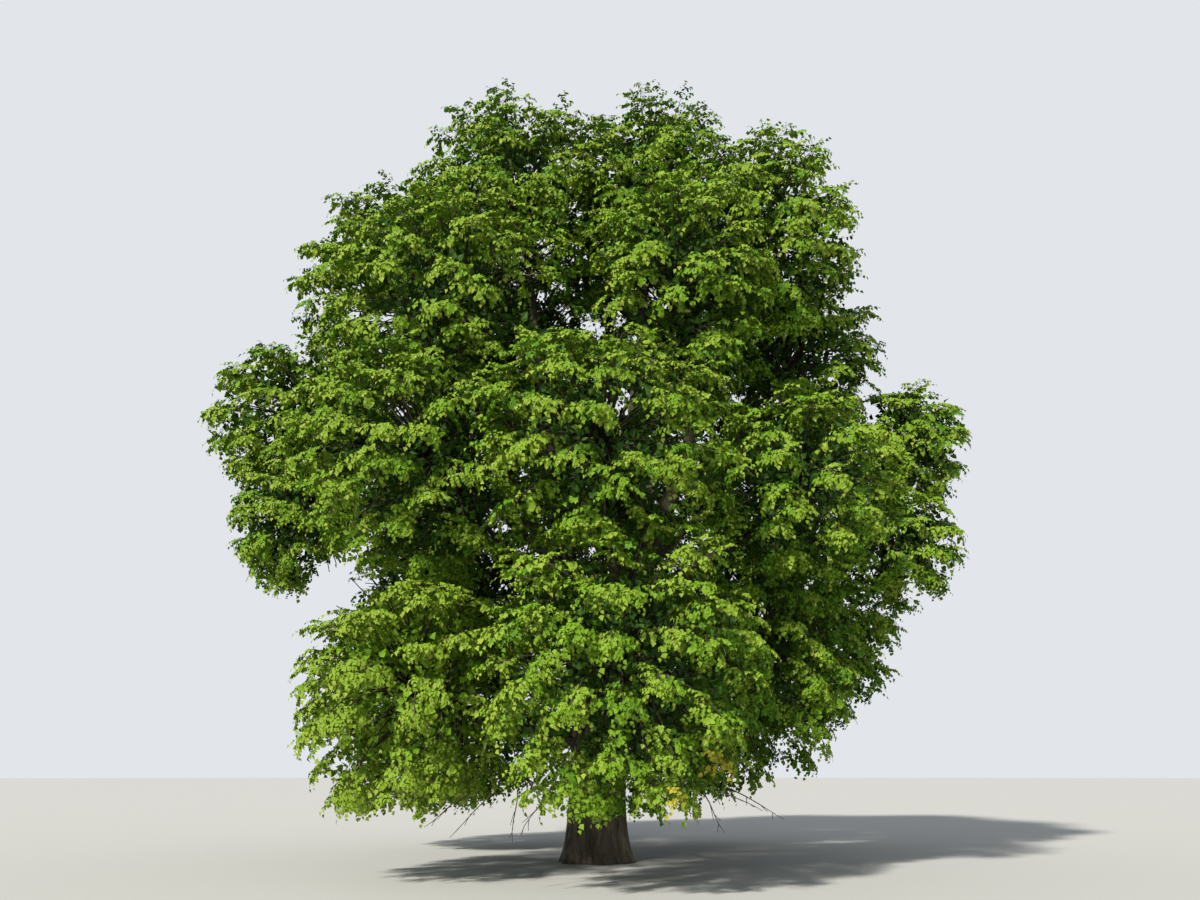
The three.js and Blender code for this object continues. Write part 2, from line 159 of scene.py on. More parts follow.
def reach(mass, ways, overlap=0.0):
    """How far a mass goes from its heart: round, but flattened where a neighbour begins."""
    length = round_reach(mass, ways)
    slope = np.maximum(ways @ mass.normals.T, LEAST_SLOPE)
    length = np.minimum(length, ((mass.limits + overlap) / slope).min(axis=-1))
    fall = np.maximum(-ways[..., 2], LEAST_SLOPE)
    return np.minimum(length, (mass.heart[2] - LOWEST_LEAF) / fall)


# Limb lines. Each limb leaves its parent's middle line, arches out on one bent line and ends just
# inside the space of the mass that it feeds. The five leaders leave the fork a little to their side.
UP = np.array([0.0, 0.0, 1.0])
TRUNK_HEIGHT = 3.15
TRUNK_LEAN = np.array([0.05, 0.03])
LEADER_SPREAD = 0.3
LEADER_HEIGHT = 12
GATE = 0.86
START_PULL = 0.34
END_PULL = 0.36
ARCH_PULL = 2
LEAST_TIP = 0.042
TIP_SHARE = 0.36


def trunk_middle(share):
    """The trunk's middle at a share of its height."""
    return np.array([*(TRUNK_LEAN * share * share), share * TRUNK_HEIGHT])


def on_line(pulls, shares):
    """Points along a line bent by four pulls, at shares of its length."""
    share = np.asarray(shares, float).reshape(-1, 1)
    rest = 1 - share
    start, first, second, end = pulls
    return rest**3 * start + 3 * rest**2 * share * first + 3 * rest * share**2 * second + share**3 * end


for mass in masses.values():
    if mass.parent == "trunk":
        start = trunk_middle(mass.leaves_at)
        aside = unit((mass.heart - start) * (1, 1, 0))
        start = start + aside * (LEADER_SPREAD if mass.heart[2] > LEADER_HEIGHT else 0)
    else:
        start = on_line(masses[mass.parent].limb, mass.leaves_at)[0]
    inward = unit(start - mass.heart)
    gate = mass.heart + inward * GATE * reach(mass, inward)
    length = np.linalg.norm(gate - start)
    leave = unit(unit(gate - start) + UP * mass.arch * ARCH_PULL)
    mass.limb = (start, start + leave * START_PULL * length, gate + inward * END_PULL * length, gate)
    mass.tip = max(LEAST_TIP, TIP_SHARE * mass.foot)

# Bark. Old linden bark is grey-brown and split by a net of shallow upright furrows; it is smoother
# and somewhat darker on the boughs, whose colours are also painted darker as painted shade for the
# inside of the crown. Both finishes share one grain, laid out round and along the limb.
grain = bpy.data.node_groups.new("bark_grain", "ShaderNodeTree")
for name, kind, value in (
    ("Place", "NodeSocketVector", None),
    ("Plate", "NodeSocketColor", (0.2, 0.17, 0.13, 1)),
    ("Furrow", "NodeSocketColor", (0.04, 0.032, 0.025, 1)),
    ("Algae", "NodeSocketColor", (0.09, 0.1, 0.05, 1)),
    ("Algae Share", "NodeSocketFloat", 0.35),
    ("Relief", "NodeSocketFloat", 0.01),
):
    socket = grain.interface.new_socket(name, in_out="INPUT", socket_type=kind)
    if value is not None:
        socket.default_value = value
for name, kind in (
    ("Colour", "NodeSocketColor"),
    ("Roughness", "NodeSocketFloat"),
    ("Normal", "NodeSocketVector"),
):
    grain.interface.new_socket(name, in_out="OUTPUT", socket_type=kind)


def node(tree, kind, **settings):
    """A new node with its sockets and settings filled in by name."""
    made = tree.nodes.new(kind)
    for name, value in settings.items():
        if name in made.inputs:
            made.inputs[name].default_value = value
        else:
            setattr(made, name, value)
    return made


given = node(grain, "NodeGroupInput")
result = node(grain, "NodeGroupOutput")
stretch = node(grain, "ShaderNodeMapping", Scale=(9, 9, 1.7))
furrows = node(grain, "ShaderNodeTexNoise", Scale=1.0, Detail=5.0, Roughness=0.62, Distortion=0.5)
net = node(grain, "ShaderNodeMapRange")
net.inputs["From Min"].default_value = 0.36
net.inputs["From Max"].default_value = 0.62
flecks = node(grain, "ShaderNodeTexNoise", Scale=46.0, Detail=3.0, Roughness=0.6)
patches = node(grain, "ShaderNodeTexNoise", Scale=0.9, Detail=4.0, Roughness=0.55)
patch_share = node(grain, "ShaderNodeMapRange")
patch_share.inputs["From Min"].default_value = 0.46
patch_share.inputs["From Max"].default_value = 0.7
patch_amount = node(grain, "ShaderNodeMath", operation="MULTIPLY")
plate_tint = node(grain, "ShaderNodeMix", data_type="RGBA", blend_type="MULTIPLY")
plate_tint.inputs["Factor"].default_value = 0.55
with_furrows = node(grain, "ShaderNodeMix", data_type="RGBA")
with_algae = node(grain, "ShaderNodeMix", data_type="RGBA")
height = node(grain, "ShaderNodeMath", operation="MULTIPLY_ADD")
height.inputs[1].default_value = 0.16
bump = node(grain, "ShaderNodeBump", Strength=0.9)
rough = node(grain, "ShaderNodeMapRange")
rough.inputs["To Min"].default_value = 0.95
rough.inputs["To Max"].default_value = 0.74
for source, target in (
    (given.outputs["Place"], stretch.inputs["Vector"]),
    (stretch.outputs["Vector"], furrows.inputs["Vector"]),
    (furrows.outputs["Fac"], net.inputs["Value"]),
    (given.outputs["Place"], flecks.inputs["Vector"]),
    (given.outputs["Place"], patches.inputs["Vector"]),
    (patches.outputs["Fac"], patch_share.inputs["Value"]),
    (patch_share.outputs["Result"], patch_amount.inputs[0]),
    (given.outputs["Algae Share"], patch_amount.inputs[1]),
    (given.outputs["Plate"], plate_tint.inputs["A"]),
    (flecks.outputs["Fac"], plate_tint.inputs["B"]),
    (net.outputs["Result"], with_furrows.inputs["Factor"]),
    (given.outputs["Furrow"], with_furrows.inputs["A"]),
    (plate_tint.outputs["Result"], with_furrows.inputs["B"]),
    (patch_amount.outputs["Value"], with_algae.inputs["Factor"]),
    (with_furrows.outputs["Result"], with_algae.inputs["A"]),
    (given.outputs["Algae"], with_algae.inputs["B"]),
    (with_algae.outputs["Result"], result.inputs["Colour"]),
    (flecks.outputs["Fac"], height.inputs[0]),
    (net.outputs["Result"], height.inputs[2]),
    (height.outputs["Value"], bump.inputs["Height"]),
    (given.outputs["Relief"], bump.inputs["Distance"]),
    (bump.outputs["Normal"], result.inputs["Normal"]),
    (net.outputs["Result"], rough.inputs["Value"]),
    (rough.outputs["Result"], result.inputs["Roughness"]),
):
    grain.links.new(source, target)


def bark_finish(name, **values):
    """A bark with the shared grain in its own colours and depth of relief."""
    finish = bpy.data.materials.new(name)
    finish.use_nodes = True
    tree = finish.node_tree
    shader = tree.nodes["Principled BSDF"]
    shader.inputs["Specular IOR Level"].default_value = 0.25
    place = node(tree, "ShaderNodeAttribute", attribute_name="limb_place")
    pattern = node(tree, "ShaderNodeGroup", node_tree=grain)
    for socket, value in values.items():
        pattern.inputs[socket.replace("_", " ").title()].default_value = value
    tree.links.new(place.outputs["Vector"], pattern.inputs["Place"])
    tree.links.new(pattern.outputs["Colour"], shader.inputs["Base Color"])
    tree.links.new(pattern.outputs["Roughness"], shader.inputs["Roughness"])
    tree.links.new(pattern.outputs["Normal"], shader.inputs["Normal"])
    return finish


# Trunk. A short stout bole, 1.15 m thick at breast height, that spreads into six root ribs at the
# flat cut on the ground and rounds over at the fork. It is drawn up ring by ring from the cut, and
# the furrows are pressed into each ring.
BOLE = SimpleNamespace(ground=0.72, breast=0.56, fork=0.53, flare=0.42, top=0.36, rounding=0.45)
RIBS = SimpleNamespace(count=6, depth=0.085, height=0.5, turn=0.6)
FURROW = SimpleNamespace(across=8.5, along=1.5, depth=0.014, thinnest=0.05, full_from=0.3)
PLATE = SimpleNamespace(fine_share=0.35, fine_scale=2.3, width=3.2, edge=1.5)
UNEVEN = SimpleNamespace(depth=0.02, across=1.4, along=0.8)
BOLE_SIDES = 144
BOLE_RINGS = 100


def furrow_depth(around, along, radius):
    """How deep the bark is split at a place on a limb: nothing on a plate, most in a furrow."""
    if radius < FURROW.thinnest:
        return 0.0
    place = Vector(
        (around.x * radius * FURROW.across, around.y * radius * FURROW.across, along * FURROW.along)
    )
    split = abs(noise.noise(place)) + PLATE.fine_share * abs(noise.noise(place * PLATE.fine_scale))
    open_share = max(0.0, 1 - split * PLATE.width) ** PLATE.edge
    return FURROW.depth * min(1.0, radius / FURROW.full_from) * open_share


def drawn_limb(middles, radius_at, sides):
    """A limb drawn out ring by ring along its middle line, with each vertex's place on the bark."""
    limb = bmesh.new()
    bark_place = limb.verts.layers.float_vector.new("limb_place")
    middles = [Vector(point) for point in middles]
    level = None
    along = 0.0
    ring = None
    last = None
    for index, middle in enumerate(middles):
        ahead = (middles[min(index + 1, len(middles) - 1)] - middles[max(index - 1, 0)]).normalized()
        level = ahead.orthogonal() if level is None else level
        level = (level - ahead * level.dot(ahead)).normalized()
        frame_here = Matrix((level, ahead.cross(level), ahead)).transposed().to_4x4()
        frame_here.translation = middle
        if ring is None:
            bmesh.ops.create_circle(limb, cap_ends=True, segments=sides, radius=1, matrix=frame_here)
            ring = list(limb.edges)
            corners = list(limb.verts)
        else:
            along += (middle - middles[index - 1]).length
            grown = bmesh.ops.extrude_edge_only(limb, edges=ring)["geom"]
            corners = [item for item in grown if isinstance(item, bmesh.types.BMVert)]
            inside = set(corners)
            ring = [
                item
                for item in grown
                if isinstance(item, bmesh.types.BMEdge) and all(vert in inside for vert in item.verts)
            ]
        outward = frame_here.inverted() if last is None else last.inverted()
        for vert in corners:
            around = outward @ vert.co
            around = Vector((around.x, around.y, 0)).normalized()
            radius = radius_at(around, along)
            vert[bark_place] = Vector((around.x * radius, around.y * radius, along))
            vert.co = frame_here @ (around * (radius - furrow_depth(around, along, radius)))
        last = frame_here
    bmesh.ops.contextual_create(limb, geom=ring)
    bmesh.ops.recalc_face_normals(limb, faces=limb.faces)
    bmesh.ops.triangulate(limb, faces=limb.faces)
    return limb


def as_arrays(shape, place_name=None):
    """A finished bmesh as points, triangles and, for bark, the place of each point on its limb."""
    shape.verts.index_update()
    points = np.array([vert.co[:] for vert in shape.verts])
    triangles = np.array([[vert.index for vert in face.verts] for face in shape.faces])
    places = None
    if place_name:
        layer = shape.verts.layers.float_vector[place_name]
        places = np.array([vert[layer][:] for vert in shape.verts])
    shape.free()
    return points, triangles, places


def together(parts):
    """Several shapes as one, each a set of points, triangles and, for bark, places on its limb."""
    starts = np.cumsum([0] + [len(points) for points, _, _ in parts[:-1]])
    points = np.concatenate([part[0] for part in parts])
    triangles = np.concatenate([part[1] + start for part, start in zip(parts, starts)])
    places = None if parts[0][2] is None else np.concatenate([part[2] for part in parts])
    return points, triangles, places


def joined(name, parts, finishes, tones=None, smooth=True):
    """One piece made of many shapes, with its finishes and the one that each triangle has."""
    points, triangles, places = together(parts)
    mesh = bpy.data.meshes.new(name)
    mesh.vertices.add(len(points))
    mesh.vertices.foreach_set("co", points.astype(np.float32).ravel())
    mesh.loops.add(triangles.size)
    mesh.loops.foreach_set("vertex_index", triangles.astype(np.int32).ravel())
    mesh.polygons.add(len(triangles))
    mesh.polygons.foreach_set("loop_start", np.arange(0, triangles.size, 3, dtype=np.int32))
    mesh.polygons.foreach_set("use_smooth", np.full(len(triangles), smooth))
    if tones is not None:
        mesh.polygons.foreach_set("material_index", tones.astype(np.int32))
    if places is not None:
        attribute = mesh.attributes.new("limb_place", "FLOAT_VECTOR", "POINT")
        attribute.data.foreach_set("vector", places.astype(np.float32).ravel())
    for finish in finishes:
        mesh.materials.append(finish)
    mesh.update(calc_edges=True)
    mesh.validate()
    piece = bpy.data.objects.new(name, mesh)
    bpy.context.scene.collection.objects.link(piece)
    return piece


def bole_radius(around, along):
    """The bole's radius: straight sides, a flare and ribs at the foot, rounded over at the fork."""
    angle = math.atan2(around.y, around.x)
    straight = BOLE.breast + (BOLE.fork - BOLE.breast) * along / TRUNK_HEIGHT
    flare = (BOLE.ground - BOLE.breast) * math.exp(-along / BOLE.flare)
    rounding = max(0.0, (along - TRUNK_HEIGHT + BOLE.rounding) / BOLE.rounding) ** 2
    radius = (straight + flare) * (1 - rounding) + BOLE.top * rounding
    ribs = RIBS.depth * math.cos(RIBS.count * angle + RIBS.turn) * math.exp(-along / RIBS.height)
    place = Vector((around.x * UNEVEN.across, around.y * UNEVEN.across, along * UNEVEN.along))
    return radius * (1 + ribs + UNEVEN.depth * noise.noise(place))


trunk_bark = bark_finish(
    "trunk_bark",
    plate=(0.215, 0.175, 0.13, 1),
    furrow=(0.045, 0.036, 0.027, 1),
    algae=(0.1, 0.105, 0.045, 1),
    algae_share=0.45,
    relief=0.012,
)
bole_line = [trunk_middle(share) for share in np.linspace(0, 1, BOLE_RINGS)]
bole = as_arrays(drawn_limb(bole_line, bole_radius, BOLE_SIDES), "limb_place")
trunk = joined("trunk_with_bark", [bole], [trunk_bark])
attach(trunk, "root")
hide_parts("trunk")

# Boughs. Five leaders rise from the fork and the other limbs leave them or the trunk, each swelling
# into a collar at its foot. Inside its mass a limb runs on to the heart as a thinner stem, from
# which branches go out to every open side and sag at their ends.
COLLAR = SimpleNamespace(swell=0.45, length=0.35)
HOLLOW_TOP = 12
LIMB_FORM = SimpleNamespace(taper=0.85, uneven=0.06, uneven_along=1.5)
WANDER = SimpleNamespace(size=0.14, scale=0.7, seed=3)
LIMB_SIDES = SimpleNamespace(leader=18, bough=12, stem=8, branch=3)
RING_STEP = SimpleNamespace(bough=0.1, stem=0.2, branch=0.42)
FEWEST_RINGS = 4
LENGTH_STEPS = 9
STEM = SimpleNamespace(sunk=0.05, foot=1.02, tip=0.6)
CHANCE = SimpleNamespace(factor=48271, most=2147483647)
# How many branches a mass has, and which ways they go.
BRANCH_COUNT = SimpleNamespace(area_each=1.22, small_share=0.7, top_share=0.8, fewest=9, small_mass=2.2)
BRANCH_WAY = SimpleNamespace(jitter=0.3, least_open=0.5, inner_radius=3.0)
# Where a branch leaves the stem and how it runs: a little over the seams, so that the crown closes.
BRANCH_START = SimpleNamespace(least=0.15, most=0.95, middle=0.75, back=0.4, vary=0.3)
BRANCH = SimpleNamespace(foot=0.024, tip=0.009, end=0.79, end_vary=0.1, overlap=0.4)
BRANCH_BEND = SimpleNamespace(rise=0.35, sag=0.35, sag_vary=0.3, pull=0.35)
# A branch whose end lies under a neighbouring mass is buried and carries fewer sprays.
BURIED = SimpleNamespace(beyond=1.2, cover=0.8, sprays=3)


def series(seed):
    """The repeatable chances that each mass grows by, from 0 to 1."""
    state = seed
    while True:
        state = state * CHANCE.factor % CHANCE.most
        yield state / CHANCE.most


def limb_parts(line, foot, tip, sides, ring_step, collar=False):
    """The bark of one limb along a bent line, with a slow wander that leaves its ends in place."""
    steps = np.diff(on_line(line, np.linspace(0, 1, LENGTH_STEPS)), axis=0)
    length = np.linalg.norm(steps, axis=1).sum()
    shares = np.linspace(0, 1, max(FEWEST_RINGS, round(length / ring_step)))
    middles = on_line(line, shares)
    wander = [noise.noise_vector(Vector(point) * WANDER.scale)[:] for point in middles]
    aside = WANDER.size * np.sin(np.pi * shares) * foot**0.5
    middles = middles + np.array(wander) * aside[:, None]

    def radius_at(around, along):
        share = min(1.0, along / length)
        radius = tip + (foot - tip) * (1 - share) ** LIMB_FORM.taper
        swell = COLLAR.swell * math.exp(-along / COLLAR.length) if collar else 0
        place = Vector((around.x, around.y, along * LIMB_FORM.uneven_along))
        return radius * (1 + swell + LIMB_FORM.uneven * noise.noise(place))

    return as_arrays(drawn_limb(middles, radius_at, sides), "limb_place")


def branch_ways(mass, chance):
    """Even directions out of a mass, less those that point at a neighbour or in to the trunk."""
    area = 4 * math.pi * np.prod(mass.half) ** (2 / 3)
    is_small = max(mass.half) < BRANCH_COUNT.small_mass
    each = BRANCH_COUNT.area_each * (BRANCH_COUNT.small_share if is_small else 1)
    each *= mass.leaf_scale**2 * (BRANCH_COUNT.top_share if mass.heart[2] > HOLLOW_TOP else 1)
    count = max(BRANCH_COUNT.fewest, round(area / each))
    spin = next(chance) * math.tau
    index = np.arange(count)
    rise = 1 - 2 * (index + 0.5) / count
    flat = np.sqrt(1 - rise**2)
    golden_angle = math.pi * (3 - math.sqrt(5))
    angle = spin + golden_angle * index
    ways = np.stack([flat * np.cos(angle), flat * np.sin(angle), rise], axis=1)
    jitter = np.array([[next(chance) - 0.5 for _ in range(3)] for _ in range(count)])
    ways = unit(ways + BRANCH_WAY.jitter * jitter)
    span = reach(mass, ways)
    open_air = span / round_reach(mass, ways) > BRANCH_WAY.least_open
    ends = mass.heart + ways * span[:, None]
    near_trunk = np.linalg.norm(ends[:, :2], axis=1) < BRANCH_WAY.inner_radius
    inside = near_trunk & (ends[:, 2] < HOLLOW_TOP)
    points_in = inside & (ways[:, :2] @ unit(mass.heart[:2]) < 0)
    return ways[open_air & ~points_in]


def is_buried(mass, end, way):
    """Whether the air beyond a branch's end belongs to another mass."""
    beyond = end + way * BURIED.beyond
    return any(
        np.linalg.norm((beyond - other.heart) / other.half) < BURIED.cover
        for other in masses.values()
        if other is not mass
    )


# The bough bark's colours are painted darker than its own: painted shade inside the crown.
bough_bark_painted_shade = bark_finish(
    "bough_bark_painted_shade",
    plate=(0.1, 0.084, 0.062, 1),
    furrow=(0.036, 0.03, 0.022, 1),
    algae=(0.055, 0.06, 0.03, 1),
    algae_share=0.3,
    relief=0.006,
)
limb_bark = []
noise.seed_set(WANDER.seed)
for mass in masses.values():
    chance = series(mass.seed)
    sides = LIMB_SIDES.leader if mass.heart[2] > LEADER_HEIGHT else LIMB_SIDES.bough
    limb_bark.append(limb_parts(mass.limb, mass.foot, mass.tip, sides, RING_STEP.bough, collar=True))
    gate = mass.limb[3]
    to_heart = mass.heart - gate
    mass.stem = (gate - STEM.sunk * to_heart, gate + to_heart / 3, gate + to_heart * 2 / 3, mass.heart)
    stem_radii = (mass.tip * STEM.foot, mass.tip * STEM.tip)
    limb_bark.append(limb_parts(mass.stem, *stem_radii, LIMB_SIDES.stem, RING_STEP.stem))
    mass.branches = []
    for way in branch_ways(mass, chance):
        span = reach(mass, way[None], BRANCH.overlap)[0]
        back = float(way @ unit(-to_heart))
        share = BRANCH_START.middle - BRANCH_START.back * back + BRANCH_START.vary * (next(chance) - 0.5)
        start = gate + to_heart * min(BRANCH_START.most, max(BRANCH_START.least, share))
        end = mass.heart + way * span * (BRANCH.end + BRANCH.end_vary * (next(chance) - 0.5))
        leave = unit(way + UP * BRANCH_BEND.rise)
        arrive = unit(way - UP * (BRANCH_BEND.sag + BRANCH_BEND.sag_vary * next(chance)))
        run = np.linalg.norm(end - start)
        bend = BRANCH_BEND.pull
        line = (start, start + leave * run * bend, end - arrive * run * bend, end)
        mass.branches.append(SimpleNamespace(line=line, way=way, buried=is_buried(mass, end, way)))
        limb_bark.append(limb_parts(line, BRANCH.foot, BRANCH.tip, LIMB_SIDES.branch, RING_STEP.branch))
boughs = joined("boughs_with_bark", limb_bark, [bough_bark_painted_shade])
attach(boughs, "root")
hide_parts(*[f"bough_{name}" for name in masses])

# Leaf sprays. A shoot of linden carries its leaves in two rows on a fan of thin twigs that sag at
# their ends, and the heart-shaped blades, nearly as wide as they are long, hang from it like tiles.
# Eight such shoots, each 1 long, are modelled from one blade folded along its midrib and one twig.
SPRAY_KINDS = 8
SPRAY_SEED = 7
BLADE = SimpleNamespace(length=0.162, lobe=(0.3, 0.5, 0.1), droop=0.14)
MERGE = 1e-5
TWIG = SimpleNamespace(foot=0.009, side_foot=0.005, end=0.9)
NEARLY_ALIGNED = 1e-3
SPARE_WAY = (1.0, 0.3, 0.2)
# The shoot's line, and where along it the leaves and side twigs stand.
SHOOT = SimpleNamespace(run=0.97, sway=0.05, sway_turns=4, rise=0.09, rise_turns=2.6, sag=0.38, bend=2.2)
SHOOT_LEAVES = (0.24, 0.4, 0.54, 0.67, 0.79, 0.9)
YOUNG_FROM = 0.8
SIDE_TWIGS = (0.14, 0.34, 0.58)
SIDE_LEAVES = (0.18, 0.36, 0.54, 0.72, 0.88)
SIDE = SimpleNamespace(turn=(0.7, 1.15), length=(0.38, 0.5), shorter=0.5, dip=(-0.45, 0.0), more_dip=0.3)
END_LEAF = 0.1
FILLER = SimpleNamespace(count=5, along=(0.15, 0.9), aside=(-0.2, 0.2), lift=0.03)
# How a leaf hangs: its way ahead, aside and down, and the way its upper face looks.
HANG = SimpleNamespace(ahead=(0.2, 0.75), aside=(0.5, 0.95), down=(0.2, 0.8), more_down=0.5)
FACE = SimpleNamespace(up=(0.5, 1), aside=0.6, out=0.35, more_out=0.6, tilt=(-0.4, 0.4))
LEAF_SIZE = (0.8, 1.14)


def blade_shape():
    """One leaf blade along x, 1 long, folded along its midrib."""
    blade = bmesh.new()
    root = blade.verts.new((0, 0, 0))
    tip = blade.verts.new((1, 0, -BLADE.droop))
    lobe = blade.verts.new(BLADE.lobe)
    bmesh.ops.contextual_create(blade, geom=[root, tip, lobe])
    half = blade.verts[:] + blade.edges[:] + blade.faces[:]
    bmesh.ops.mirror(blade, geom=half, axis="Y", merge_dist=MERGE)
    for face in blade.faces:
        face.normal_update()
        if face.normal.z < 0:
            face.normal_flip()
    return as_arrays(blade)


def twig_shape():
    """A three-sided pointed twig along x, 1 long and 1 in radius at its foot."""
    twig = bmesh.new()
    bmesh.ops.create_cone(twig, cap_ends=False, segments=3, radius1=1, radius2=0, depth=1)
    bmesh.ops.rotate(twig, verts=twig.verts, cent=(0, 0, 0), matrix=Matrix.Rotation(math.pi / 2, 3, "Y"))
    bmesh.ops.translate(twig, verts=twig.verts, vec=(0.5, 0, 0))
    bmesh.ops.remove_doubles(twig, verts=twig.verts, dist=MERGE)
    bmesh.ops.triangulate(twig, faces=twig.faces)
    return as_arrays(twig)


blade = blade_shape()
pointed_twig = twig_shape()


def turned_frames(ways, facings):
    """Frames whose first axis is each way and whose third leans as far as it can to the facing."""
    first = unit(ways)
    second = np.cross(facings, first)
    short = np.linalg.norm(second, axis=1) < NEARLY_ALIGNED
    second[short] = np.cross(first[short], SPARE_WAY)
    second = unit(second)
    return np.stack([first, second, np.cross(first, second)], axis=2)


def repeated(shape, frames, places):
    """Many copies of one shape, each in its own scaled frame at its own place."""
    points, triangles, _ = shape
    copies = np.einsum("nij,vj->nvi", frames, points) + places[:, None, :]
    shift = np.arange(len(places))[:, None, None] * len(points)
    return copies.reshape(-1, 3), (triangles[None] + shift).reshape(-1, 3), None


def twigs_between(shape, starts, ends, feet):
    """Thin twigs from starts to ends, each with the radius of its foot."""
    run = np.array(ends) - np.array(starts)
    length = np.linalg.norm(run, axis=1)
    frames = turned_frames(run, np.tile(UP, (len(run), 1)))
    sizes = np.stack([length, feet, feet], axis=1)
    return repeated(shape, frames * sizes[:, None, :], np.array(starts))


def spray_kind(chance):
    """One kind of spray: its blades, which of them are young, and its twigs, 1 long along x."""
    forward = np.array([1.0, 0.0, 0.0])
    roots = []
    ways = []
    facings = []
    sizes = []
    young = []
    starts = []
    ends = []

    def spread(least, most):
        """A chance between two values."""
        return least + (most - least) * next(chance)

    def shoot_at(share):
        """A place on the shoot, which rises a little and then sags."""
        sway = SHOOT.sway * math.sin(SHOOT.sway_turns * share)
        rise = SHOOT.rise * math.sin(SHOOT.rise_turns * share)
        return np.array([SHOOT.run * share, sway, rise - SHOOT.sag * share**SHOOT.bend])

    def hang(root, way, side, is_young):
        """Adds a leaf at a root on one side of a twig, lower the further out it stands."""
        outer = root[0] ** 2
        level = np.cross(UP, way)
        aside = unit(level) * side
        roots.append(root)
        along = way * spread(*HANG.ahead) + aside * spread(*HANG.aside)
        ways.append(along - UP * (spread(*HANG.down) + HANG.more_down * outer))
        up = UP * spread(*FACE.up)
        out = (way + FACE.aside * aside) * (FACE.out + FACE.more_out * outer)
        facings.append(up + out + level * spread(*FACE.tilt))
        sizes.append(BLADE.length * spread(*LEAF_SIZE))
        young.append(is_young)

    side = 1 if next(chance) > 0.5 else -1
    for share in SIDE_TWIGS:
        foot = shoot_at(share)
        turn = side * spread(*SIDE.turn)
        length = spread(*SIDE.length) * (1 - SIDE.shorter * share)
        dip = spread(*SIDE.dip) - SIDE.more_dip * share
        heading = np.array([math.cos(turn), math.sin(turn), dip])
        end = foot + heading * length
        starts.append(foot)
        ends.append(end)
        for step, along in enumerate(SIDE_LEAVES):
            hang(foot + heading * length * along, heading, 1 if step % 2 else -1, False)
        hang(end, heading, END_LEAF, True)
        side = -side
    for step, share in enumerate(SHOOT_LEAVES):
        hang(shoot_at(share), forward, 1 if step % 2 else -1, share > YOUNG_FROM)
    hang(shoot_at(1), forward, END_LEAF, True)
    for _ in range(FILLER.count):
        root = shoot_at(spread(*FILLER.along)) + np.array([0, spread(*FILLER.aside), FILLER.lift])
        hang(root, forward, spread(-1, 1), False)
    frames = turned_frames(np.array(ways), np.array(facings)) * np.array(sizes)[:, None, None]
    main = twigs_between(pointed_twig, [shoot_at(0)], [shoot_at(TWIG.end)], [TWIG.foot])
    fine = twigs_between(pointed_twig, starts, ends, [TWIG.side_foot] * len(starts))
    return SimpleNamespace(
        blades=repeated(blade, frames, np.array(roots)),
        young=np.array(young),
        twigs=together([main, fine]),
    )


spray_chance = series(SPRAY_SEED)
sprays = [spray_kind(spray_chance) for _ in range(SPRAY_KINDS)]

# Leaf colours. Fresh early-summer green on thin matt blades: yellower on young leaves at the shoots'
# ends, deeper on older ones, yellowish on a few drying shoots low on the right. The deep and shade
# tones also stand for shade inside the crown: they are partly real shade leaves and partly painted
# shade, and leaf_shade, the darkest, is painted shade.
TONES = {
    "leaf_young": (0.23, 0.305, 0.036),
    "leaf_light": (0.18, 0.287, 0.022),
    "leaf_mid": (0.132, 0.25, 0.013),
    "leaf_deep": (0.082, 0.19, 0.01),
    "leaf_shade": (0.035, 0.085, 0.01),
    "leaf_dry": (0.36, 0.34, 0.035),
}


def leaf_finish(name, colour):
    """A plain matt finish in one colour, for leaves and for thin twigs."""
    finish = bpy.data.materials.new(name)
    finish.use_nodes = True
    shader = finish.node_tree.nodes["Principled BSDF"]
    shader.inputs["Base Color"].default_value = (*colour, 1)
    shader.inputs["Roughness"].default_value = 0.55
    shader.inputs["Specular IOR Level"].default_value = 0.12
    return finish


leaf_finishes = [leaf_finish(name, colour) for name, colour in TONES.items()]
twig_finish = leaf_finish("twig_bark", (0.09, 0.07, 0.045))
YOUNG, LIGHT, MID, DEEP, SHADE, DRY = range(len(TONES))

# Sprays on the branches. They fan out from each branch's outer third and sag over its end, most of
# all in the low skirt, so that every branch carries a tiled pad with a shaded hollow below. Single
# leaves stand along the branch under the pad, and shaded shoots on the stems and limbs inside; the
# single leaves and the limb shoots mostly take dark tones as painted shade.
SPRAY = SimpleNamespace(length=0.54, shortest=0.8, vary=0.4, least=0.3)
# Where on its branch each spray of a pad starts, and how far it turns aside.
SPRAY_SHARES = (1.0, 0.99, 0.97, 0.94, 0.9, 0.86, 0.81, 0.76, 0.69)
SPRAY_TURNS = (0.0, 0.55, -0.6, 1.1, -1.15, 0.25, 1.4, -0.35, -1.45)
# How a spray is aimed and tilted, and how far it hangs.
AIM = SimpleNamespace(vary=0.5, rise=0.5, dip=0.12, pitch_vary=0.9, face_out=0.45, face_vary=0.6)
PAD_HANG = 0.3
SKIRT = SimpleNamespace(hang=0.5, top=4.5)
SEED_SHIFT = 11
# Shoots on the stems and limbs inside the crown. The limb shoots take the shade and deep tones
# wherever they stand, as painted shade.
STEM_SPRAYS = 14
LIMB_SHOOTS = SimpleNamespace(per_metre=7.5, first=0.3, shaded=0.55)
LIMB_STEPS = 24
# The room that a spray has to keep to, and how it is shortened until it does.
ROOM = SimpleNamespace(overlap=0.6, outline=0.965, top=17.22, to_limb=0.22, to_gap=-0.05)
FIT = SimpleNamespace(tries=6, shrink=0.86, sag=0.25, middle=0.55, middle_sag=0.3)
# Single leaves in the shade under a pad, each with a place, a way and a face drawn by chance.
SHADE_LEAVES = SimpleNamespace(each=32, length=0.15, first=0.25, run=0.66, away=0.16, face_up=0.4)
SHADE_GAP_ROOM = 0.15
SHADE_DRAWS = 7
